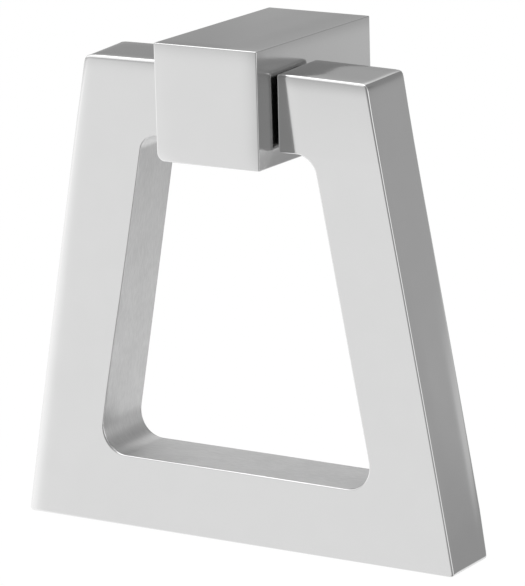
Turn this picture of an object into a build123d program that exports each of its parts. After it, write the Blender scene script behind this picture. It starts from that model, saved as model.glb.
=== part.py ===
from build123d import *
import math
import os

# Open trapezoid ring pull on a square post, hung as on a drawer front.
# The drawer front is the plane Y = 0 and the pull stands out along -Y.
# The origin is the middle of the post's back face, on the screw's axis, with +Z up.

# Post
post_width = 15.5
post_height = 15.4
post_length = 27.8
post_edge_radius = 0.4
post_soft_edge_radius = 1.0
post_back_edge_radius = 0.25

# Screw hole in the back of the post, tapped for an 8-32 machine screw
tap_drill_diameter = 3.454
thread_major_diameter = 4.166
screw_hole_depth = 14.0
drill_point_angle = 118.0

# Ring: an open trapezoid of nearly square bar, cast in one piece
ring_height = 63.5
ring_top_width = 42.3
ring_bottom_width = 65.9
ring_thickness = 9.2
arm_height = 10.1
leg_width = 9.85
foot_height = 9.9
ring_edge_radius = 0.42
top_corner_radius = 1.4
bottom_corner_radius = 0.8
throat_corner_radius = 2.6
opening_corner_radius = 3.6
side_bow = 0.13
top_bow = 0.1

# Pivot: one cross pin held in the post, with the arms turning on its ends
pivot_setback = 19.4
pivot_drop = 0.35
pin_diameter = 3.0
pin_reach = 2.8
pin_end_chamfer = 0.3
pin_grip = 0.005
arm_gap = 0.5
turning_clearance = 0.05
socket_end_clearance = 0.4

# The pivot's place and the ring's levels follow from the sizes above.
pivot_y = -pivot_setback
pivot_z = -pivot_drop
pin_radius = pin_diameter / 2
arm_end_x = post_width / 2 + arm_gap
ring_top_z = arm_height / 2
ring_bottom_z = ring_top_z - ring_height
side_lean = math.atan((ring_bottom_width - ring_top_width) / 2 / ring_height)


def outer_half_width(z):
    """Half the ring's outer width at a height measured from the pivot."""
    return ring_top_width / 2 + (ring_top_z - z) * math.tan(side_lean)


def inner_half_width(z):
    """Half the opening's width at a height measured from the pivot."""
    return outer_half_width(z) - leg_width / math.cos(side_lean)


def facing_front(y, z):
    """An upright plane through the middle of the pull: its x runs along +X and its y along +Z."""
    return Plane(origin=(0, y, z), x_dir=(1, 0, 0), z_dir=(0, -1, 0))


def across_pivot():
    """The plane that the pivot's axis stands on, at the middle of the post."""
    return Plane(origin=(0, pivot_y, pivot_z), z_dir=(1, 0, 0))


def drill_point_height(radius):
    """How far a drill's point reaches past the full diameter of its hole."""
    return radius / math.tan(math.radians(drill_point_angle / 2))


def drilled_hole(radius, depth):
    """A blind hole's space: it starts at the origin, runs along +Z and ends in a drill point."""
    wall = Cylinder(radius, depth, align=(Align.CENTER, Align.CENTER, Align.MIN))
    point_height = drill_point_height(radius)
    point = Cone(radius, 0, point_height, align=(Align.CENTER, Align.CENTER, Align.MIN))
    return wall + Pos(0, 0, depth) * point


def bowed_outline():
    """The ring's outer outline from the front. Polishing has left its top and sides slightly bowed."""
    top = ring_top_width / 2
    bottom = ring_bottom_width / 2
    edges = [
        SagittaArc((-top, ring_top_z), (top, ring_top_z), top_bow),
        SagittaArc((top, ring_top_z), (bottom, ring_bottom_z), side_bow),
        Line((bottom, ring_bottom_z), (-bottom, ring_bottom_z)),
        SagittaArc((-bottom, ring_bottom_z), (-top, ring_top_z), side_bow),
    ]
    outline = make_face(edges)
    outline = fillet(outline.vertices().sort_by(Axis.Y)[-2:], top_corner_radius)
    return fillet(outline.vertices().sort_by(Axis.Y)[:2], bottom_corner_radius)


def opening_outline():
    """The space inside the ring from the front, with leaning sides and round corners."""
    under_arms = -arm_height / 2
    over_foot = ring_bottom_z + foot_height
    upper = inner_half_width(under_arms)
    lower = inner_half_width(over_foot)
    points = [(-upper, under_arms), (upper, under_arms), (lower, over_foot), (-lower, over_foot)]
    outline = make_face(Polyline(*points, close=True))
    outline = fillet(outline.vertices().sort_by(Axis.Y)[-2:], throat_corner_radius)
    return fillet(outline.vertices().sort_by(Axis.Y)[:2], opening_corner_radius)


def throat_outline():
    """The space between the arm ends, from the opening out through the ring's top."""
    upper = ring_top_z + 2 * top_bow
    lower = -arm_height
    return Pos(0, (upper + lower) / 2) * Rectangle(2 * arm_end_x, upper - lower)


def ring_profile():
    """The ring's whole outline from the front, with the corners of its arm ends softened."""
    profile = bowed_outline() - opening_outline() - throat_outline()
    arm_end_corners = profile.vertices().filter_by(lambda v: abs(v.X) < arm_end_x + arm_gap)
    return fillet(arm_end_corners, ring_edge_radius)


def make_ring():
    """The ring hanging straight down, with a blind socket for the pin in the end of each arm."""
    ring = extrude(facing_front(pivot_y, pivot_z) * ring_profile(), ring_thickness / 2, both=True)
    faces = ring.faces().sort_by(Axis.Y)
    ring = fillet(faces[0].edges() + faces[-1].edges(), ring_edge_radius)
    return ring - pin_socket(-1) - pin_socket(1)


def pin_socket(side):
    """The blind hole in one arm's end: side is -1 for the left arm and 1 for the right one."""
    depth = pin_reach - arm_gap + socket_end_clearance
    into_arm = Plane(origin=(side * arm_end_x, pivot_y, pivot_z), z_dir=(side, 0, 0))
    return into_arm * drilled_hole(pin_radius + turning_clearance, depth)


def post_section():
    """The post's square section, with one of its lower corners polished softer than the rest."""
    section = Rectangle(post_width, post_height)
    corners = section.vertices().sort_by_distance((-post_width, -post_height))
    section = fillet(corners[0], post_soft_edge_radius)
    corners = section.vertices().sort_by_distance((-post_width, -post_height))
    return fillet(corners[-3:], post_edge_radius)


def screw_hole():
    """The tapped hole's space at its drilled size, with its mouth opened to the thread's full width."""
    radius = tap_drill_diameter / 2
    mouth_radius = thread_major_diameter / 2
    mouth_depth = mouth_radius - radius
    mouth = Cone(mouth_radius, radius, mouth_depth, align=(Align.CENTER, Align.CENTER, Align.MIN))
    return drilled_hole(radius, screw_hole_depth) + mouth


def make_post():
    """The square post, with its screw hole in the back and the pin's bore across it."""
    post = extrude(facing_front(0, 0) * post_section(), post_length)
    post = fillet(post.faces().sort_by(Axis.Y)[0].edges(), post_edge_radius)
    post = fillet(post.faces().sort_by(Axis.Y)[-1].edges(), post_back_edge_radius)
    bore = across_pivot() * Cylinder(pin_radius - pin_grip, 2 * post_width)
    return post - facing_front(0, 0) * screw_hole() - bore


def make_pivot_pin():
    """The cross pin, chamfered at both ends and gripped by the post's bore."""
    pin = Cylinder(pin_radius, post_width + 2 * pin_reach)
    pin = chamfer(pin.edges().filter_by(GeomType.CIRCLE), pin_end_chamfer)
    return across_pivot() * pin


os.makedirs("parts", exist_ok=True)
pieces = {"post": make_post(), "ring": make_ring(), "pivot_pin": make_pivot_pin()}
for name, piece in pieces.items():
    export_step(piece, f"parts/{name}.step")
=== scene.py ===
import logging
import math
from collections.abc import Callable, Iterable
from dataclasses import dataclass
from enum import Enum

import bmesh
import bpy
from mathutils import Matrix, Vector


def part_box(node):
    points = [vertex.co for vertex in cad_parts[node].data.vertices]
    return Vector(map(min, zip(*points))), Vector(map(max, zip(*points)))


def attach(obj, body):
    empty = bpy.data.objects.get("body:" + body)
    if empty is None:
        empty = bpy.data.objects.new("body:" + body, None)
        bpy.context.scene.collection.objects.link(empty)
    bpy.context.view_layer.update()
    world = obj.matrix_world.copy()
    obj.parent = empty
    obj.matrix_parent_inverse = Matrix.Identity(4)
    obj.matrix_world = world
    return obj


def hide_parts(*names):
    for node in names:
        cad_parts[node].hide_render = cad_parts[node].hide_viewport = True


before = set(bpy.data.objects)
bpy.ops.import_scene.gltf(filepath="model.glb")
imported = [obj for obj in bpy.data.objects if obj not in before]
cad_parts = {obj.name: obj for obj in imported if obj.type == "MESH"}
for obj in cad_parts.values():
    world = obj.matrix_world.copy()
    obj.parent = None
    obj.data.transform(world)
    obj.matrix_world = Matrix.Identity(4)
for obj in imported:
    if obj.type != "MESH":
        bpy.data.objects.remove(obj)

logging.basicConfig(level=logging.INFO, format="%(message)s")
log = logging.getLogger("ring_pull")

MM = 0.001
NEAR = 0.02 * MM
SAME_PLACE = NEAR / 4
MERGE_DISTANCE = 0.001 * MM
CORNER_REACH = 0.6 * MM
BIAS_REACH = 20.0 * MM
SHARP_ANGLE = math.radians(60)
ALONG_AXIS = 0.9
EDGE_PROFILE = 0.7
EDGE_STEPS = 14
DRILL_FACETS = 64
WHITE = (1.0, 1.0, 1.0, 1.0)
PHOTO_WIDTH = 525
PHOTO_HEIGHT = 586
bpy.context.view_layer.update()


class Slot(Enum):
    """The record's material slot for the polished plate."""

    PLATE = "polished_plate"


class Body(Enum):
    """The bodies that pieces ride on."""

    POST = "fixed_post"
    RING = "swinging_ring"


class Value:
    """A number that varies over a surface. Arithmetic on it adds Math nodes to its graph."""

    def __init__(self, graph: "Graph", socket: bpy.types.NodeSocket) -> None:
        """Wraps the output of a node in a graph."""
        self.graph = graph
        self.socket = socket

    def math(self, operation: str, first: "Value | float", second: "Value | float" = 0.0) -> "Value":
        """The result of one Math node on two inputs."""
        node = self.graph.node("ShaderNodeMath", {"operation": operation}, {0: first, 1: second})
        return Value(self.graph, node.outputs[0])

    def __add__(self, other: "Value | float") -> "Value":
        """self + other."""
        return self.math("ADD", self, other)

    def __sub__(self, other: "Value | float") -> "Value":
        """self - other."""
        return self.math("SUBTRACT", self, other)

    def __rsub__(self, other: float) -> "Value":
        """other - self."""
        return self.math("SUBTRACT", other, self)

    def __mul__(self, other: "Value | float") -> "Value":
        """self * other."""
        return self.math("MULTIPLY", self, other)

    def __truediv__(self, other: "Value | float") -> "Value":
        """self / other."""
        return self.math("DIVIDE", self, other)

    __radd__ = __add__
    __rmul__ = __mul__


class Graph:
    """The node graph of one material or world."""

    def __init__(self, tree: bpy.types.NodeTree) -> None:
        """Empties the node tree and fills it from here."""
        self.tree = tree
        self.tree.nodes.clear()

    def node(self, kind: str, settings: dict | None = None, inputs: dict | None = None) -> bpy.types.Node:
        """Adds one node.

        Args:
            kind: the node's type.
            settings: its own settings, set first. "stops" holds a ramp's (place, grey level) pairs.
            inputs: what each input gets, by name or number: a plain value, a Value or an output.

        Returns:
            The new node.
        """
        made = self.tree.nodes.new(kind)
        for name, setting in (settings or {}).items():
            if name == "stops":
                self.fill_ramp(made.color_ramp, setting)
            else:
                setattr(made, name, setting)
        for key, given in (inputs or {}).items():
            given = given.socket if isinstance(given, Value) else given
            if isinstance(given, bpy.types.NodeSocket):
                self.tree.links.new(given, made.inputs[key])
            else:
                made.inputs[key].default_value = given
        return made

    @staticmethod
    def fill_ramp(ramp: bpy.types.ColorRamp, stops: Iterable[tuple[float, float]]) -> None:
        """Gives a ramp its stops.

        Args:
            ramp: the ramp, new, with two stops.
            stops: the place and grey level of each stop, in rising order.
        """
        stops = list(stops)
        while len(ramp.elements) < len(stops):
            ramp.elements.new(1.0)
        for element, (place, grey) in zip(ramp.elements, stops):
            element.position = place
            element.color = (grey, grey, grey, 1.0)

    def value(self, node: bpy.types.Node, output: str | int = 0) -> Value:
        """One of a node's outputs, ready for arithmetic."""
        return Value(self, node.outputs[output])

    def place(self) -> tuple[Value, Value, Value]:
        """Finds the point that is shaded.

        Returns:
            Its x, y and z in the frame, in metres.
        """
        where = self.node("ShaderNodeTexCoord")
        split = self.node("ShaderNodeSeparateXYZ", inputs={0: where.outputs["Object"]})
        return self.value(split, 0), self.value(split, 1), self.value(split, 2)

    def noise(self, stretch: tuple[float, float, float], detail: float = 2.0) -> Value:
        """Noise over Object coordinates.

        Args:
            stretch: how many noise cells fit in a metre along x, y and z.
            detail: the noise's own detail.

        Returns:
            The noise, about 0.5 on average.
        """
        where = self.node("ShaderNodeTexCoord")
        scaled = self.node("ShaderNodeMapping", {}, {"Vector": where.outputs["Object"], "Scale": stretch})
        inputs = {"Vector": scaled.outputs[0], "Scale": 1.0, "Detail": detail}
        return self.value(self.node("ShaderNodeTexNoise", {}, inputs), "Fac")

    def between(self, amount: Value, low: float, high: float) -> Value:
        """The amount clamped and mapped from low..high to 0..1, with a smooth start and end."""
        return self.share(amount, low, high, "SMOOTHSTEP")

    def share(self, amount: Value, low: float, high: float, kind: str = "LINEAR") -> Value:
        """The amount clamped and mapped from low..high to 0..1, by a kind of interpolation."""
        limits = {"Value": amount, "From Min": low, "From Max": high}
        return self.value(self.node("ShaderNodeMapRange", {"interpolation_type": kind}, limits))

    def turn_from(self, azimuth: Value, centre: float) -> Value:
        """How many degrees an azimuth lies from a centre, either way round."""
        wrapped = self.node("ShaderNodeMath", {"operation": "WRAP"}, {0: azimuth - centre, 1: 180, 2: -180})
        return self.value(wrapped).math("ABSOLUTE", self.value(wrapped))

    def grey(self, low: float, high: float, amount: Value) -> bpy.types.NodeSocket:
        """A neutral colour from low to high as amount goes from 0 to 1."""
        inputs = {"Factor": amount, 6: (low, low, low, 1.0), 7: (high, high, high, 1.0)}
        return self.node("ShaderNodeMix", {"data_type": "RGBA"}, inputs).outputs[2]

    def finish_with(self, surface: bpy.types.NodeSocket, output: str = "ShaderNodeOutputMaterial") -> None:
        """Joins a shader to the graph's output."""
        self.node(output, {}, {"Surface": surface})


Surface = tuple[bpy.types.NodeSocket, Value, Value, float]


def new_material(name: str) -> tuple[bpy.types.Material, Graph]:
    """Makes a material.

    Args:
        name: its name.

    Returns:
        The material and its empty graph.
    """
    material = bpy.data.materials.new(name)
    material.use_nodes = True
    return material, Graph(material.node_tree)


@dataclass(frozen=True)
class MetalFinish:
    """What every metal finish has: its name, the light it returns, and how far that varies.

    Each kind of finish has a method surface. From the material's graph it makes the metal's colour, its
    roughness, its relief from 0 to 1, and the height in metres of a relief of 1.
    """

    name: str
    reflectance: float
    darkest: float = 0.9
    lightest: float = 1.1

    def colour(self, graph: Graph, amount: Value) -> bpy.types.NodeSocket:
        """The metal's colour, from its darkest to its lightest as amount goes from 0 to 1."""
        return graph.grey(self.reflectance * self.darkest, self.reflectance * self.lightest, amount)

    def material(self) -> bpy.types.Material:
        """Builds the material.

        Returns:
            The material.
        """
        material, graph = new_material(self.name)
        colour, roughness, height, depth = self.surface(graph)
        bump = graph.node("ShaderNodeBump", {}, {"Height": height, "Distance": depth, "Strength": 1.0})
        shader = graph.node(
            "ShaderNodeBsdfPrincipled",
            {},
            {"Base Color": colour, "Roughness": roughness, "Normal": bump.outputs[0], "Metallic": 1.0},
        )
        graph.finish_with(shader.outputs[0])
        return material


@dataclass(frozen=True)
class FlatSide:
    """One flat side of a piece whose left and right halves match.

    The side is the plane where along * |x| + front * y + up * z equals reach. Within its width, what it
    meets falls away to it by a share, fall, of the finish's depth, and by the bias more at BIAS_REACH to
    the right, or less as far to the left. The power says how late the fall starts.
    """

    along: float
    front: float
    up: float
    reach: float
    fall: float = 1.0
    bias: float = 0.0
    width: float = 3.0 * MM
    power: float = 3.0


@dataclass(frozen=True)
class PolishedPlate(MetalFinish):
    """Bright plate over hand-polished metal: a faintly waved mirror whose flats fall away to their edges.

    Past dull_beyond on either side of the middle it is rougher, by the dulling.
    """

    darkest: float = 0.985
    lightest: float = 1.015
    sides: tuple[FlatSide, ...] = ()
    fall_depth: float = 0.1 * MM
    twist: float = 0.0
    twist_start: float = 8.2 * MM
    twist_length: float = 4.0 * MM
    twist_level: float = -6.0 * MM
    twist_floor: float = -48.0 * MM
    twist_back: float = -14.8 * MM
    twist_front: float = -24.0 * MM
    roughness: float = 0.105
    haze: float = 0.03
    wave_length: float = 11.0 * MM
    wave_depth: float = 0.03 * MM
    clouds_per_wave: float = 3.0
    dull_beyond: float = 1.0
    dulling: float = 0.0

    def surface(self, graph: Graph) -> Surface:
        """Works out the surface.

        Args:
            graph: the material's graph.

        Returns:
            Its colour, roughness, relief and depth of relief.
        """
        cells = 1.0 / self.wave_length
        wave = graph.noise((cells, cells, cells), detail=1.0)
        cells *= self.clouds_per_wave
        cloud = graph.noise((cells, cells, cells))
        colour = self.colour(graph, cloud)
        x, _, _ = graph.place()
        rubbed = graph.share(x.math("ABSOLUTE", x), self.dull_beyond, self.dull_beyond + NEAR)
        roughness = self.roughness + self.haze * (cloud - 0.5) + self.dulling * rubbed
        height = wave * self.wave_depth - self.fall(graph) * self.fall_depth - self.twisting(graph)
        return colour, roughness, height / MM, MM

    def fall(self, graph: Graph) -> Value:
        """How far the surface has been buffed away, as a share of the fall's depth, summed over the sides.

        On a side itself its own share is the same all over, so only the sides it meets shape it.

        Args:
            graph: the material's graph.

        Returns:
            The summed share.
        """
        x, y, z = graph.place()
        across = x.math("ABSOLUTE", x)
        total = across * 0.0
        for side in self.sides:
            inside = side.reach - (across * side.along + y * side.front + z * side.up)
            nearness = graph.share(inside, side.width, 0.0)
            deeper = 1.0 + x * (side.bias / BIAS_REACH)
            total = total + side.fall * deeper * nearness.math("POWER", nearness, side.power)
        return total

    def twisting(self, graph: Graph) -> Value:
        """How far buffing has taken the right arm's front back next to the post: more towards its top.

        Args:
            graph: the material's graph.

        Returns:
            The depth taken off, in metres.
        """
        x, y, z = graph.place()
        along = graph.between(x, self.twist_start, self.twist_start + self.twist_length)
        upper = graph.between(z, self.twist_floor, self.twist_level)
        forward = graph.share(y, self.twist_back, self.twist_front)
        return along * upper * forward * z.math("MAXIMUM", z, self.twist_level) * self.twist


@dataclass(frozen=True)
class BrushedPlate(MetalFinish):
    """Plate over brushed metal: fine streaks that run along the opening's sides."""

    darkest: float = 0.94
    lightest: float = 1.06
    roughness: float = 0.44
    haze: float = 0.08
    streak_width: float = 0.19 * MM
    streak_length: float = 1.1 * MM
    patch_size: float = 4.0 * MM
    patch_stretch: float = 1.3
    streak_share: float = 0.65
    shade_low: float = 0.3
    shade_high: float = 0.7
    streak_depth: float = 0.002 * MM

    def surface(self, graph: Graph) -> Surface:
        """Works out the surface.

        Args:
            graph: the material's graph.

        Returns:
            Its colour, roughness, relief and depth of relief.
        """
        across = 1.0 / self.streak_width
        along = 1.0 / self.streak_length
        streaks = graph.noise((along, across, along), detail=3.0)
        patch = 1.0 / self.patch_size
        patches = graph.noise((patch, patch * self.patch_stretch, patch))
        mixed = self.streak_share * streaks + (1 - self.streak_share) * patches
        colour = self.colour(graph, graph.between(mixed, self.shade_low, self.shade_high))
        roughness = self.roughness + self.haze * (0.5 - streaks)
        return colour, roughness, streaks, self.streak_depth


@dataclass(frozen=True)
class CutMetal(MetalFinish):
    """Bare metal as a tool has cut it, with a grain of its own size along x, y and z."""

    roughness: float = 0.38
    haze: float = 0.15
    grain: tuple[float, float, float] = (0.25 * MM, 0.125 * MM, 0.25 * MM)
    grain_depth: float = 0.004 * MM

    def surface(self, graph: Graph) -> Surface:
        """Works out the surface.

        Args:
            graph: the material's graph.

        Returns:
            Its colour, roughness, relief and depth of relief.
        """
        grain = graph.noise(tuple(1.0 / size for size in self.grain))
        colour = self.colour(graph, grain)
        roughness = self.roughness + self.haze * (grain - 0.5)
        return colour, roughness, grain, self.grain_depth


class Workpiece:
    """One mesh on the bench: it picks faces and edges in code and runs Blender's own operators on them."""

    def __init__(self, name: str) -> None:
        """Takes the primitive that has just been added, and names it."""
        self.object = bpy.context.active_object
        self.object.name = self.object.data.name = name

    def take_up(self) -> None:
        """Makes this piece the one selected object."""
        bpy.ops.object.select_all(action="DESELECT")
        self.object.select_set(True)
        bpy.context.view_layer.objects.active = self.object

    def settle(self) -> None:
        """Puts the piece's place, turn and scale into its mesh, so that its object sits at the origin."""
        self.take_up()
        bpy.ops.object.transform_apply(location=True, rotation=True, scale=True)

    def edit(self) -> None:
        """Goes into edit mode with nothing selected."""
        self.take_up()
        bpy.ops.object.mode_set(mode="EDIT")
        bpy.ops.mesh.select_all(action="DESELECT")

    def leave(self) -> None:
        """Goes back to object mode."""
        bpy.ops.object.mode_set(mode="OBJECT")

    def choose(self, kind: str, test: Callable) -> int:
        """Selects the vertices, edges or faces that pass a test, and nothing else.

        Args:
            kind: "verts", "edges" or "faces".
            test: says of one vertex, edge or face whether it is selected.

        Returns:
            How many were selected.
        """
        bpy.context.tool_settings.mesh_select_mode = (kind == "verts", kind == "edges", kind == "faces")
        bpy.ops.mesh.select_all(action="DESELECT")
        mesh = bmesh.from_edit_mesh(self.object.data)
        mesh.normal_update()
        chosen = [element for element in getattr(mesh, kind) if test(element)]
        for element in chosen:
            element.select_set(True)
        mesh.select_flush_mode()
        bmesh.update_edit_mesh(self.object.data)
        return len(chosen)

    def round_corner(self, offset: float, steps: int) -> None:
        """Rounds the selected edges with a plain arc of some steps, starting an offset from the edge."""
        bpy.ops.mesh.bevel(offset=offset, segments=steps, profile=0.5, affect="EDGES", clamp_overlap=False)

    def round_sharp_edges(self, width_of: Callable, widest: float, levels: int = 40) -> None:
        """Rounds each sharp edge to a width of its own, and goes back to object mode.

        Args:
            width_of: says how wide an edge is rounded, from its middle and its direction.
            widest: the largest of these widths.
            levels: how many different widths there can be.
        """

        def level(edge: bmesh.types.BMEdge) -> int:
            """The level that is nearest to an edge's width."""
            start, end = (vertex.co for vertex in edge.verts)
            return round(levels * width_of((start + end) / 2, (end - start).normalized()) / widest)

        for share in range(1, levels + 1):
            if self.choose("edges", lambda edge: self.is_sharp(edge) and level(edge) == share):
                bpy.ops.transform.edge_bevelweight(value=share / levels)
        self.leave()
        rounding = {"width": widest, "profile": EDGE_PROFILE, "segments": EDGE_STEPS}
        self.modify("BEVEL", limit_method="WEIGHT", use_clamp_overlap=False, **rounding)

    @staticmethod
    def is_sharp(edge: bmesh.types.BMEdge) -> bool:
        """Whether an edge's faces meet at a sharp angle."""
        return edge.calc_face_angle(0.0) >= SHARP_ANGLE

    def modify(self, kind: str, **settings: object) -> None:
        """Adds a modifier, sets it and applies it.

        Args:
            kind: the modifier's type.
            settings: its settings.
        """
        self.take_up()
        modifier = self.object.modifiers.new(kind.lower(), kind)
        for name, setting in settings.items():
            setattr(modifier, name, setting)
        bpy.ops.object.modifier_apply(modifier=modifier.name)

    def drill(
        self, name: str, radius: float, start: Vector, direction: Vector, depth: float, point: float
    ) -> None:
        """Drills a hole into the piece.

        Args:
            name: the name of the hole's space.
            radius: the hole's radius.
            start: a point on its axis, outside the piece's metal.
            direction: the way the drill goes, of length 1.
            depth: how far from start the full radius reaches.
            point: how much further the drill's point reaches.
        """
        bpy.ops.mesh.primitive_cylinder_add(
            vertices=DRILL_FACETS,
            radius=radius,
            depth=depth,
            location=start + direction * (depth / 2),
            rotation=direction.to_track_quat("Z", "Y").to_euler(),
        )
        cutter = Workpiece(name)
        cutter.settle()
        cutter.edit()
        cutter.choose("faces", lambda face: face.normal.dot(direction) > ALONG_AXIS)
        if point > 0:
            bpy.ops.mesh.extrude_region_move(TRANSFORM_OT_translate={"value": direction * point})
            bpy.ops.mesh.merge(type="CENTER")
        cutter.leave()
        self.modify("BOOLEAN", operation="DIFFERENCE", solver="EXACT", object=cutter.object)
        bpy.data.objects.remove(cutter.object, do_unlink=True)

    def smooth(self, crease_degrees: float = 40.0) -> None:
        """Merges doubled vertices, turns every face outwards and shades the piece smooth between creases.

        Args:
            crease_degrees: the least angle between two faces that is a crease.
        """
        self.edit()
        bpy.ops.mesh.select_all(action="SELECT")
        bpy.ops.mesh.remove_doubles(threshold=MERGE_DISTANCE)
        bpy.ops.mesh.normals_make_consistent(inside=False)
        self.leave()
        self.take_up()
        bpy.ops.object.shade_smooth_by_angle(angle=math.radians(crease_degrees))
        self.modify("WEIGHTED_NORMAL", mode="FACE_AREA", weight=50, keep_sharp=True)

    def dress(self, *materials: bpy.types.Material) -> None:
        """Gives the piece its materials, the first one all over."""
        for material in materials:
            self.object.data.materials.append(material)

    def report(self) -> None:
        """Logs the piece's faces and size."""
        size = self.object.dimensions / MM
        faces = len(self.object.data.polygons)
        log.info("%s: %d faces, %.2f x %.2f x %.2f mm", self.object.name, faces, *size)


@dataclass
class PivotSizes:
    """The pivot's axis and fits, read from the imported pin."""

    running_clearance: float = 0.05 * MM
    press_grip: float = 0.005 * MM
    socket_end_clearance: float = 0.4 * MM
    drill_point_degrees: float = 118.0

    def __post_init__(self) -> None:
        """Reads the pin's middle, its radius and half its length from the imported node."""
        low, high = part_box("pivot_pin")
        self.centre = (low + high) / 2
        self.radius = (high.z - low.z) / 2
        self.half_length = (high.x - low.x) / 2

    def point_height(self, radius: float) -> float:
        """How far a drill's point reaches past the full radius of its hole."""
        return radius / math.tan(math.radians(self.drill_point_degrees / 2))


@dataclass
class Post:
    """The square post, polished on every side that shows, and tapped in the back for its screw."""

    pivot: PivotSizes
    crisp_edge: float = 0.21 * MM
    soft_corner: float = 1.15 * MM
    soft_corner_steps: int = 16
    back_edge: float = 0.4 * MM
    bore_radius: float = 2.083 * MM
    crest_radius: float = 1.727 * MM
    thread_pitch: float = 0.794 * MM
    bore_depth: float = 14.0 * MM
    thread_start: float = 0.45 * MM
    thread_turns: int = 15
    thread_steps: int = 40
    thread_root: float = 0.86
    thread_crest: float = 0.3
    thread_crease: float = 30.0
    overshoot: float = 1.0 * MM

    def build(self) -> Workpiece:
        """Models the post from a cube.

        Returns:
            The finished post, without its materials.
        """
        low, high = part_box("post")
        bpy.ops.mesh.primitive_cube_add(size=1.0, location=(low + high) / 2, scale=high - low)
        post = Workpiece("square_post")
        post.settle()
        post.edit()
        post.choose("edges", self.is_soft_edge)
        post.round_corner(self.soft_corner, self.soft_corner_steps)
        post.round_sharp_edges(self.edge_width, max(self.crisp_edge, self.back_edge))
        self.cut_holes(post)
        post.smooth()
        return post

    @staticmethod
    def is_soft_edge(edge: bmesh.types.BMEdge) -> bool:
        """Whether an edge is the lower left one, which buffing has rounded most."""
        return all(vertex.co.x < 0 and vertex.co.z < 0 for vertex in edge.verts)

    def edge_width(self, middle: Vector, direction: Vector) -> float:
        """How wide an edge of the post is rounded, from its middle and whatever its direction."""
        return self.back_edge if middle.y > -NEAR else self.crisp_edge

    def flat_sides(self) -> tuple[FlatSide, ...]:
        """Finds the post's sides that are buffed, for its finish.

        Returns:
            The sides.
        """
        low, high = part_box("post")
        return (
            FlatSide(1.0, 0.0, 0.0, high.x, fall=3.6, bias=0.7, width=6.0 * MM, power=2.0),
            FlatSide(0.0, 0.0, 1.0, high.z, fall=0.8),
            FlatSide(0.0, 0.0, -1.0, -low.z, fall=2.0),
            FlatSide(0.0, -1.0, 0.0, -low.y),
        )

    def cut_holes(self, post: Workpiece) -> None:
        """Drills the screw hole in the back and the pin's bore across the post.

        Args:
            post: the post.
        """
        inward = Vector((0, -1, 0))
        across = Vector((1, 0, 0))
        start = -inward * self.overshoot
        depth = self.bore_depth + self.overshoot
        point = self.pivot.point_height(self.bore_radius)
        post.drill("screw_hole_space", self.bore_radius, start, inward, depth, point)
        reach = self.pivot.half_length * 2
        bore_radius = self.pivot.radius - self.pivot.press_grip
        start = self.pivot.centre - across * reach
        post.drill("pin_bore_space", bore_radius, start, across, 2 * reach, 0.0)

    def build_thread(self) -> Workpiece:
        """Models the screw thread as one ridge that winds along the hole.

        Returns:
            The thread, without its material.
        """
        wall = self.bore_radius + NEAR
        height = wall - self.crest_radius
        middle = Vector((self.crest_radius + height / 2, -self.thread_start, 0))
        bpy.ops.mesh.primitive_plane_add(size=1.0, location=middle)
        bpy.ops.transform.resize(value=(height, self.thread_pitch * self.thread_root, 1))
        thread = Workpiece("screw_thread")
        thread.settle()
        thread.edit()
        thread.choose("verts", lambda vertex: vertex.co.x < middle.x)
        crest = (self.crest_radius, middle.y, 0)
        bpy.ops.transform.resize(value=(1, self.thread_crest, 1), center_override=crest)
        bpy.ops.mesh.select_all(action="SELECT")
        bpy.ops.mesh.delete(type="ONLY_FACE")
        thread.leave()
        thread.modify(
            "SCREW",
            axis="Y",
            angle=math.tau,
            steps=self.thread_steps,
            render_steps=self.thread_steps,
            screw_offset=-self.thread_pitch,
            iterations=self.thread_turns,
            use_merge_vertices=True,
            merge_threshold=MERGE_DISTANCE,
        )
        thread.edit()
        limit = -self.thread_start - self.thread_pitch * self.thread_turns / 2
        for last in (False, True):
            thread.choose("edges", lambda edge: edge.is_boundary and (edge.verts[0].co.y < limit) == last)
            bpy.ops.mesh.edge_face_add()
        thread.leave()
        thread.smooth(self.thread_crease)
        return thread


@dataclass(frozen=True)
class HalfShape:
    """How one half of the ring has come out of casting and buffing, where it differs from the other."""

    side: int
    arm_end_top_corner: float = 1.1 * MM
    top_corner: float = 2.0 * MM
    throat_corner: float = 2.6 * MM
    end_lean: float = 0.0
    end_drop: float = 0.0
    corner_drop: float = 0.0
    front_drop: float = 0.0
    under_drop: float = 0.0
    swell: float = 0.0
    back_corner_shift: float = 0.0
    back_foot_shift: float = 0.0
    opening_shift: float = 0.0
    foot_drop: float = 0.0
    inner_front_swell: float = 0.0
    inner_worn_edge: float = 0.82 * MM
    worn_edge: float = 1.02 * MM
    corner_edge: float = 0.75 * MM
    side_edge: float = 0.5 * MM


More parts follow.
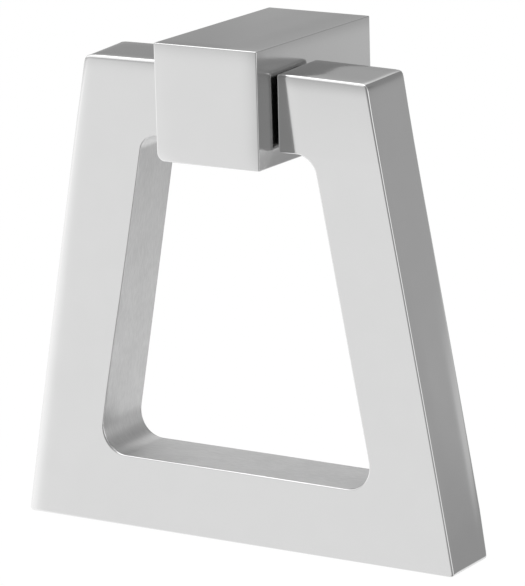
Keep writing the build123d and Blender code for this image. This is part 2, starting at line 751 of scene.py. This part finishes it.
@dataclass
class Ring:
    """The open trapezoid ring: one bar followed round from arm end to arm end."""

    pivot: PivotSizes
    left: HalfShape = HalfShape(
        side=-1,
        front_drop=0.18 * MM,
        back_corner_shift=0.8 * MM,
        inner_front_swell=0.48 * MM,
    )
    right: HalfShape = HalfShape(
        side=1,
        top_corner=1.35 * MM,
        throat_corner=3.0 * MM,
        end_lean=0.06 * MM,
        end_drop=0.2 * MM,
        corner_drop=0.42 * MM,
        front_drop=0.3 * MM,
        under_drop=0.5 * MM,
        back_foot_shift=-0.2 * MM,
        swell=0.3 * MM,
        opening_shift=0.24 * MM,
        foot_drop=0.1 * MM,
        inner_worn_edge=0.42 * MM,
        worn_edge=0.62 * MM,
        corner_edge=0.45 * MM,
        side_edge=0.28 * MM,
    )
    top_width: float = 42.3 * MM
    bottom_width: float = 65.8 * MM
    arm_height: float = 10.1 * MM
    leg_width: float = 9.85 * MM
    foot_height: float = 9.9 * MM
    foot_sag: float = 0.1 * MM
    arm_gap: float = 0.4 * MM
    side_bow: float = 0.13 * MM
    top_bow: float = 0.1 * MM
    arm_end_low_corner: float = 0.7 * MM
    bottom_corner: float = 1.0 * MM
    opening_corner: float = 3.6 * MM
    corner_steps: int = 12
    swell_share: float = 0.25
    inner_swell_share: float = 0.75
    arm_end_edge: float = 0.75 * MM
    arm_end_top_edge: float = 0.24 * MM
    foot_edge: float = 0.28 * MM
    back_edge: float = 0.75 * MM
    opening_edge: float = 0.36 * MM
    opening_foot_edge: float = 0.5 * MM
    foot_front_drop: float = 0.12 * MM
    foot_reach: float = 0.5 * MM
    opening_margin: float = 0.1 * MM
    flat_normal: float = 0.03
    worn_normals: tuple[float, float] = (-0.9, 0.1)
    arm_steps: int = 5
    leg_shares: tuple[float, ...] = (0.0, 0.07, 0.14, 0.22, 0.35, 0.5, 0.65, 0.8, 0.9, 1.0)

    def __post_init__(self) -> None:
        """Reads the ring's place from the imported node, and works out its levels and its foot's station."""
        self.low, self.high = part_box("ring")
        self.top = self.pivot.centre.z + self.arm_height / 2
        self.bottom = self.low.z
        self.under_arm = self.pivot.centre.z - self.arm_height / 2
        self.over_foot = self.low.z + self.foot_height - self.foot_sag
        self.lean = math.atan((self.bottom_width - self.top_width) / 2 / (self.top - self.bottom))
        self.arm_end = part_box("post")[1].x + self.arm_gap
        self.foot_station = self.arm_steps + len(self.leg_shares) - 1

    def straight(self, height: float) -> float:
        """Half the ring's outer width at a height, before bowing."""
        share = (self.top - height) / (self.top - self.bottom)
        return self.top_width / 2 + share * (self.bottom_width - self.top_width) / 2

    def outer(self, shape: HalfShape, height: float) -> float:
        """Half the ring's outer width at a height, with the bow of its sides and a half's own swell.

        Args:
            shape: the half.
            height: the height.

        Returns:
            Half the width.
        """
        share = (self.top - height) / (self.top - self.bottom)
        swell = shape.swell * max(0.0, 1 - share / self.swell_share) ** 2
        return self.straight(height) + 4 * self.side_bow * share * (1 - share) + swell

    def inner(self, shape: HalfShape, height: float) -> float:
        """Half the opening's width at a height."""
        return self.straight(height) - self.leg_width / math.cos(self.lean) + shape.opening_shift

    def half_stations(self, shape: HalfShape) -> list[tuple[Vector, Vector]]:
        """Where one half of the bar is divided: outer and inner points on its front, from arm end to foot.

        Args:
            shape: the half.

        Returns:
            Pairs of an outer and an inner point.
        """

        def at(x: float, z: float) -> Vector:
            """A point on the ring's front, on this half's side."""
            return Vector((shape.side * x, self.low.y, z))

        corner_out = self.outer(shape, self.top)
        corner_in = self.inner(shape, self.under_arm)
        pairs = []
        for step in range(self.arm_steps):
            share = step / self.arm_steps
            start = self.arm_end + (shape.end_lean if step == 0 else 0.0)
            x = start + share * (corner_out - self.arm_end)
            bow = self.top_bow * (1 - (x / corner_out) ** 2)
            drop = shape.end_drop + share * (shape.corner_drop - shape.end_drop)
            under = self.arm_end + math.sqrt(share) * (corner_in - self.arm_end) / 2
            pairs.append((at(x, self.top + bow - drop), at(under, self.under_arm - shape.under_drop)))
        for share in self.leg_shares:
            out_z = self.top - shape.corner_drop + share * (self.bottom - self.top + shape.corner_drop)
            in_top = self.under_arm - shape.under_drop
            in_z = in_top + share * (self.over_foot - shape.foot_drop - in_top)
            pairs.append((at(self.outer(shape, out_z), out_z), at(self.inner(shape, in_z), in_z)))
        outer_foot, inner_foot = self.outer(shape, self.bottom), self.inner(shape, self.over_foot)
        foot_top = self.over_foot - shape.foot_drop / 2
        pairs.append((at(outer_foot / 2, self.bottom), at(inner_foot / 2, foot_top)))
        return pairs

    def build(self) -> Workpiece:
        """Models the ring: a strip of faces drawn out along the bar, thickened and rounded.

        Returns:
            The finished ring, without its materials.
        """
        ring = self.draw_strip()
        ring.edit()
        bpy.ops.mesh.select_all(action="SELECT")
        bpy.ops.mesh.extrude_region_move(TRANSFORM_OT_translate={"value": (0, self.high.y - self.low.y, 0)})
        bpy.ops.mesh.select_all(action="SELECT")
        bpy.ops.mesh.normals_make_consistent(inside=False)
        self.lower(ring, self.on_foot_front, self.foot_front_drop)
        for shape in (self.left, self.right):
            self.lower(ring, lambda point: self.on_top_front(point, shape.side), shape.front_drop)
            self.shift_back_corners(ring, shape)
            self.swell_inner_front(ring, shape)
            self.round_corners(ring, shape)
        ring.round_sharp_edges(self.edge_width, max(self.left.top_corner, self.right.top_corner))
        self.drill_sockets(ring)
        ring.smooth()
        return ring

    def draw_strip(self) -> Workpiece:
        """Draws the ring's front as a strip of faces, extruding its last edge from station to station.

        Returns:
            The strip.
        """
        middle = Vector((0, self.low.y, self.bottom)), Vector((0, self.low.y, self.over_foot))
        pairs = [*self.half_stations(self.left), middle, *reversed(self.half_stations(self.right))]
        (first_out, first_in), (next_out, next_in) = pairs[:2]
        bpy.ops.mesh.primitive_plane_add(size=MM, location=first_out, rotation=(math.pi / 2, 0, 0))
        ring = Workpiece("trapezoid_ring")
        ring.settle()
        ring.edit()
        corners = {(1, -1): first_in, (1, 1): first_out, (-1, 1): next_out, (-1, -1): next_in}
        for (right, up), target in corners.items():
            self.shift_vertex(ring, first_out + Vector((right * MM / 2, 0, up * MM / 2)), target)
        for before, after in zip(pairs[1:], pairs[2:]):
            ring.choose("edges", lambda edge: all(self.is_one_of(end.co, before) for end in edge.verts))
            bpy.ops.mesh.extrude_region_move(TRANSFORM_OT_translate={"value": after[0] - before[0]})
            self.shift_vertex(ring, after[0] - before[0] + before[1], after[1])
        ring.leave()
        return ring

    @staticmethod
    def is_one_of(point: Vector, places: Iterable[Vector]) -> bool:
        """Whether a point is at one of some places."""
        return any((point - place).length < SAME_PLACE for place in places)

    def shift_vertex(self, piece: Workpiece, start: Vector, end: Vector) -> None:
        """Moves the one vertex at a place to another place."""
        piece.choose("verts", lambda vertex: (vertex.co - start).length < SAME_PLACE)
        bpy.ops.transform.translate(value=end - start)

    @staticmethod
    def lower(ring: Workpiece, test: Callable, drop: float) -> None:
        """Lowers the vertices whose places pass a test, where the ring has been buffed away."""
        ring.choose("verts", lambda vertex: test(vertex.co))
        bpy.ops.transform.translate(value=(0, 0, -drop))

    def on_top_front(self, point: Vector, side: int) -> bool:
        """Whether a point is on the front edge of one arm's top."""
        return self.in_front(point) and point.z > self.pivot.centre.z and point.x * side > 0

    def on_foot_front(self, point: Vector) -> bool:
        """Whether a point is on the front edge of the foot's upper side."""
        return self.in_front(point) and abs(point.z - self.over_foot) < self.foot_reach

    def shift_back_corners(self, ring: Workpiece, shape: HalfShape) -> None:
        """Moves the back ends of one half's outer corners sideways, where more or less metal is gone.

        Args:
            ring: the ring.
            shape: the half.
        """
        pairs = self.half_stations(shape)
        shifts = {self.arm_steps: shape.back_corner_shift, self.foot_station: shape.back_foot_shift}
        for station, shift in shifts.items():
            corner = pairs[station][0] + Vector((0, self.high.y - self.low.y, 0))
            self.shift_vertex(ring, corner, corner + Vector((shape.side * shift, 0, 0)))

    def swell_inner_front(self, ring: Workpiece, shape: HalfShape) -> None:
        """Moves the front edge of one leg's inner side into the opening, most next to the arm.

        Args:
            ring: the ring.
            shape: the leg's half.
        """
        pairs = self.half_stations(shape)
        for step, share in enumerate(self.leg_shares):
            amount = shape.inner_front_swell * max(0.0, 1 - (share / self.inner_swell_share) ** 2)
            place = pairs[self.arm_steps + step][1]
            if amount > 0:
                self.shift_vertex(ring, place, place - Vector((shape.side * amount, 0, 0)))

    def in_front(self, point: Vector) -> bool:
        """Whether a point is in the front half of the ring."""
        return point.y < (self.low.y + self.high.y) / 2

    def round_corners(self, ring: Workpiece, shape: HalfShape) -> None:
        """Rounds the inside corners of one half of the outline.

        Args:
            ring: the ring.
            shape: the half.
        """
        pairs = self.half_stations(shape)
        throat = pairs[self.arm_steps][1], shape.throat_corner, math.pi / 2 + self.lean
        opening = pairs[self.foot_station][1], self.opening_corner, math.pi / 2 - self.lean
        for place, radius, angle in (throat, opening):
            ring.choose("edges", lambda edge: all(self.at_corner(end.co, place) for end in edge.verts))
            ring.round_corner(radius / math.tan(angle / 2), self.corner_steps)

    @staticmethod
    def at_corner(point: Vector, place: Vector) -> bool:
        """Whether a point lies on the line that runs back from a corner of the outline."""
        return math.hypot(point.x - place.x, point.z - place.z) < CORNER_REACH

    def inside_opening(self, point: Vector) -> bool:
        """Whether a point lies on the opening's sides.

        Args:
            point: the point.

        Returns:
            Whether it does.
        """
        shape = self.left if point.x < 0 else self.right
        margin = self.opening_margin
        top = self.under_arm - shape.under_drop + margin
        bottom = self.over_foot - shape.foot_drop - self.foot_front_drop - margin
        return bottom < point.z < top and abs(point.x) < self.inner(shape, point.z) + margin

    def edge_width(self, middle: Vector, direction: Vector) -> float:
        """How wide an edge of the bar is rounded. Widths only change where the bar runs straight.

        Args:
            middle: the edge's middle.
            direction: the edge's direction.

        Returns:
            The width.
        """
        shape = self.left if middle.x < 0 else self.right
        pairs = self.half_stations(shape)
        upper = middle.z > self.pivot.centre.z
        across = abs(middle.x)
        if abs(direction.y) > ALONG_AXIS:
            outline = (
                (pairs[0][0], shape.arm_end_top_corner),
                (pairs[0][1], self.arm_end_low_corner),
                (pairs[self.arm_steps][0], shape.top_corner),
                (pairs[self.foot_station][0], self.bottom_corner),
            )
            return next((width for place, width in outline if self.at_corner(middle, place)), 0.0)
        end_zone = abs(pairs[1][0 if upper else 1].x)
        if across < end_zone and middle.z > self.under_arm - MM:
            return self.arm_end_edge if abs(direction.z) > ALONG_AXIS else self.arm_end_top_edge
        if self.inside_opening(middle):
            return self.opening_edge if middle.z > self.over_foot + NEAR else self.opening_foot_edge
        if not self.in_front(middle):
            return self.back_edge
        last_top, first_side = pairs[self.arm_steps - 1][0], pairs[self.arm_steps + 1][0]
        low_side = pairs[self.foot_station - 1][0]
        if upper and across < abs(last_top.x):
            share = (across - end_zone) / (abs(last_top.x) - end_zone)
            return shape.inner_worn_edge + share * (shape.worn_edge - shape.inner_worn_edge)
        if middle.z > first_side.z:
            return shape.corner_edge
        return self.foot_edge if middle.z < low_side.z else shape.side_edge

    def flat_sides(self) -> tuple[FlatSide, ...]:
        """Finds the ring's outer sides, for its finish.

        Returns:
            The sides.
        """
        leaning = FlatSide(
            math.cos(self.lean),
            0.0,
            math.sin(self.lean),
            math.cos(self.lean) * self.top_width / 2 + math.sin(self.lean) * self.top,
            fall=0.5,
            bias=-0.6,
        )
        return (
            leaning,
            FlatSide(0.0, 0.0, 1.0, self.top, fall=1.4, bias=0.5),
            FlatSide(0.0, -1.0, 0.0, -self.low.y),
            FlatSide(0.0, 1.0, 0.0, self.high.y),
        )

    def drill_sockets(self, ring: Workpiece) -> None:
        """Drills the blind socket for the pin in the end of each arm.

        Args:
            ring: the ring.
        """
        radius = self.pivot.radius + self.pivot.running_clearance
        depth = self.pivot.half_length + self.pivot.socket_end_clearance
        start = Vector((0, self.pivot.centre.y, self.pivot.centre.z))
        for name, side in (("left_socket_space", -1), ("right_socket_space", 1)):
            across = Vector((side, 0, 0))
            ring.drill(name, radius, start, across, depth, self.pivot.point_height(radius))

    def is_brushed(self, normal: Vector, centre: Vector) -> bool:
        """Whether a face is one of the opening's sides, or of the left leg's worn inner edge.

        Args:
            normal: the face's normal.
            centre: its middle.

        Returns:
            Whether it is brushed.
        """
        on_side = abs(normal.y) < self.flat_normal
        over_corner = centre.z > self.over_foot + self.opening_corner
        least, most = self.worn_normals
        on_worn_edge = centre.x < 0 and over_corner and least < normal.y < most
        return (on_side or on_worn_edge) and self.inside_opening(centre)

    def mark_brushed(self, ring: Workpiece) -> None:
        """Gives the brushed faces the second material.

        Args:
            ring: the ring.
        """
        ring.edit()
        ring.choose("faces", lambda face: self.is_brushed(face.normal, face.calc_center_median()))
        ring.object.active_material_index = 1
        bpy.ops.object.material_slot_assign()
        ring.leave()


@dataclass(frozen=True)
class TentPanel:
    """One stretch of the light tent, with its azimuths from the front and its blend in degrees.

    Its tones are pairs of an elevation in degrees and a level, from bottom to top.
    """

    start: float
    end: float
    blend: float
    tones: tuple[tuple[float, float], ...]


@dataclass
class Studio:
    """The white set: floor, world, one overhead softbox, and a light tent that only reflections see.

    The white end of a tone's ramp stands for a level of bright_scale.
    """

    floor_height: float = -1.2
    floor_size: float = 14.0
    world_level: float = 1.0
    softbox_place: tuple[float, float, float] = (-0.36, -0.17, 0.62)
    softbox_size: tuple[float, float] = (0.72, 1.0)
    softbox_level: float = 1.1
    softbox_watts: float = 4.0
    tent_radius: float = 0.5
    tent_low: float = -49.0
    tent_high: float = 60.0
    tent_facets: int = 128
    bright_scale: float = 2.0
    panels: tuple[TentPanel, ...] = (
        TentPanel(-200, -41, blend=8, tones=(
            (-49, 1.3), (-9, 1.3), (-3, 0.95), (4, 0.65), (10, 0.8), (16, 1.3), (22, 1.4), (30, 1.2),
            (38, 1.45), (60, 1.45),
        )),
        TentPanel(-41, -4, blend=8, tones=(
            (-49, 1.0), (-9, 1.0), (-3, 0.75), (4, 0.55), (10, 0.75), (16, 1.3), (22, 1.4), (30, 1.15),
            (60, 1.1),
        )),
        TentPanel(-16, 80, blend=16, tones=(
            (-49, 0.3), (-30, 0.35), (-14, 0.42), (5, 0.3), (20, 0.3), (60, 0.6),
        )),
        TentPanel(70, 132, blend=10, tones=(
            (-49, 0.6), (-25, 1.1), (10, 1.3), (25, 0.8), (60, 0.4),
        )),
        TentPanel(122, 165, blend=10, tones=(
            (-49, 0.5), (-26, 0.36), (-13, 0.38), (-9, 0.45), (0, 0.46), (14, 0.33), (25, 0.25), (60, 0.2),
        )),
        TentPanel(144.7, 195, blend=2.6, tones=(
            (-49, 1.2), (-29, 1.0), (-23, 0.38), (-13.2, 0.38), (-11.4, 0.67), (-9.5, 0.69), (-7, 0.46),
            (0, 0.45), (14, 0.35), (25, 0.31), (60, 0.3),
        )),
        TentPanel(185, 250, blend=10, tones=(
            (-49, 0.7), (-24, 0.7), (-14, 0.6), (-2, 0.5), (14, 0.4), (25, 0.5), (40, 0.95), (60, 0.95),
        )),
        TentPanel(214.8, 250, blend=3, tones=(
            (-49, 0.7), (-24, 0.7), (-14, 0.55), (-2, 0.45), (14, 0.34), (25, 0.5), (40, 0.95), (60, 0.95),
        )),
    )

    def build(self) -> None:
        """Sets up the whole studio."""
        self.add_floor()
        self.add_world()
        self.add_softbox()
        self.add_tent()
        log.info("studio: floor, world, softbox and light tent")

    def add_floor(self) -> None:
        """Lays the white floor, well below the pull, which hangs from its mount."""
        bpy.ops.mesh.primitive_plane_add(size=self.floor_size, location=(0, 0, self.floor_height))
        floor = Workpiece("floor")
        material, graph = new_material("white_floor")
        shader = graph.node("ShaderNodeBsdfDiffuse", {}, {"Color": WHITE})
        graph.finish_with(shader.outputs[0])
        floor.dress(material)

    def add_world(self) -> None:
        """Lights the set evenly. What looks straight at the world sees white."""
        world = bpy.data.worlds.new("white_studio")
        bpy.context.scene.world = world
        world.use_nodes = True
        graph = Graph(world.node_tree)
        background = graph.node("ShaderNodeBackground", {}, {"Color": WHITE, "Strength": self.world_level})
        graph.finish_with(background.outputs[0], "ShaderNodeOutputWorld")

    def add_softbox(self) -> None:
        """Hangs the softbox over the pull, to its front left."""
        width, length = self.softbox_size
        lamp = bpy.data.lights.new("overhead_softbox", "AREA")
        lamp.shape = "RECTANGLE"
        lamp.size = width
        lamp.size_y = length
        lamp.energy = self.softbox_level * self.softbox_watts * width * length
        softbox = bpy.data.objects.new("overhead_softbox", lamp)
        softbox.location = self.softbox_place
        softbox.visible_camera = False
        bpy.context.scene.collection.objects.link(softbox)

    def add_tent(self) -> None:
        """Stands the light tent round the pull: a drum that only reflections see."""
        low = self.tent_radius * math.tan(math.radians(self.tent_low))
        high = self.tent_radius * math.tan(math.radians(self.tent_high))
        bpy.ops.mesh.primitive_cylinder_add(
            vertices=self.tent_facets,
            radius=self.tent_radius,
            depth=high - low,
            end_fill_type="NOTHING",
            location=(0, 0, (low + high) / 2),
        )
        tent = Workpiece("light_tent")
        tent.settle()
        for ray in ("camera", "diffuse", "transmission", "volume_scatter", "shadow"):
            setattr(tent.object, f"visible_{ray}", False)
        tent.dress(self.tent_material())

    def tent_material(self) -> bpy.types.Material:
        """The tent's cloth: each panel's tone, blended into the next one.

        Returns:
            The material.
        """
        material, graph = new_material("tent_cloth")
        x, y, z = graph.place()
        azimuth = x.math("ARCTAN2", x, -1.0 * y) * math.degrees(1.0)
        elevation = z.math("ARCTAN2", z, self.tent_radius) * math.degrees(1.0)
        height = graph.share(elevation, self.tent_low, self.tent_high)
        tone = None
        for panel in self.panels:
            stops = [
                ((angle - self.tent_low) / (self.tent_high - self.tent_low), level / self.bright_scale)
                for angle, level in panel.tones
            ]
            ramp = graph.node("ShaderNodeValToRGB", {"stops": stops}, {"Fac": height})
            level = graph.value(ramp) * self.bright_scale
            if tone is None:
                tone = level
                continue
            turn = graph.turn_from(azimuth, (panel.start + panel.end) / 2)
            half = (panel.end - panel.start) / 2
            mask = 1.0 - graph.between(turn, half - panel.blend / 2, half + panel.blend / 2)
            tone = tone * (1.0 - mask) + level * mask
        emission = graph.node("ShaderNodeEmission", {}, {"Color": WHITE, "Strength": tone})
        graph.finish_with(emission.outputs[0])
        return material


@dataclass(frozen=True)
class PhotoCamera:
    """The camera at the photograph's viewpoint."""

    azimuth: float = 32.665
    elevation: float = 13.9
    roll: float = -1.598
    distance: float = 563.03 * MM
    focal_pixels: float = 4347.64
    sensor: float = 36.0
    clip_ratio: float = 50.0
    clip_end: float = 100.0
    target: tuple[float, float, float] = (2.33 * MM, -19.4 * MM, -25.914 * MM)

    def build(self) -> None:
        """Adds the camera and makes it the scene's own."""
        turn, rise, tilt = (math.radians(angle) for angle in (self.azimuth, self.elevation, self.roll))
        back = Vector((math.sin(turn) * math.cos(rise), -math.cos(turn) * math.cos(rise), math.sin(rise)))
        right = Vector((math.cos(turn), math.sin(turn), 0))
        up = back.cross(right)
        rolled_right = math.cos(tilt) * right + math.sin(tilt) * up
        rolled_up = -math.sin(tilt) * right + math.cos(tilt) * up
        lens = bpy.data.cameras.new("photo_camera")
        lens.sensor_width = self.sensor
        lens.lens = self.focal_pixels / max(PHOTO_WIDTH, PHOTO_HEIGHT) * self.sensor
        camera = bpy.data.objects.new("photo_camera", lens)
        axes = Matrix((rolled_right, rolled_up, back)).transposed().to_4x4()
        camera.matrix_world = Matrix.Translation(Vector(self.target) + back * self.distance) @ axes
        lens.clip_start = self.distance / self.clip_ratio
        lens.clip_end = self.clip_end
        bpy.context.scene.collection.objects.link(camera)
        bpy.context.scene.camera = camera
        log.info("camera: azimuth %.1f, elevation %.1f degrees", self.azimuth, self.elevation)


def main() -> None:
    """Builds the pull's looks and the studio round it."""
    bpy.context.scene.view_settings.view_transform = "Standard"
    PhotoCamera().build()
    Studio().build()

    brushed = BrushedPlate("brushed_plate", reflectance=0.72).material()
    tapped = CutMetal("tapped_metal", reflectance=0.6, darkest=0.85, lightest=1.05).material()
    rings = (0.12 * MM, 6.0 * MM, 6.0 * MM)
    turned = CutMetal(
        "turned_steel", reflectance=0.5, roughness=0.34, haze=0.2, grain=rings, grain_depth=0.003 * MM
    ).material()
    pivot = PivotSizes()

    post_maker = Post(pivot)
    post = post_maker.build()
    polished = PolishedPlate(
        "polished_post",
        reflectance=0.69,
        sides=post_maker.flat_sides(),
        fall_depth=0.07 * MM,
        dull_beyond=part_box("post")[1].x - 2 * NEAR,
        dulling=0.06,
    )
    post.dress(polished.material())
    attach(post.object, Body.POST.value)
    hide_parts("post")
    post.report()

    thread = post_maker.build_thread()
    thread.dress(tapped)
    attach(thread.object, Body.POST.value)
    thread.report()

    ring_maker = Ring(pivot)
    ring = ring_maker.build()
    polished = PolishedPlate("polished_ring", reflectance=0.69, sides=ring_maker.flat_sides(), twist=0.032)
    ring.dress(polished.material(), brushed)
    ring_maker.mark_brushed(ring)
    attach(ring.object, Body.RING.value)
    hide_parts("ring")
    ring.report()

    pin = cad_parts["pivot_pin"]
    pin.data.materials.clear()
    pin.data.materials.append(turned)
    log.info("pivot_pin: dressed")


if __name__ == "__main__":
    main()
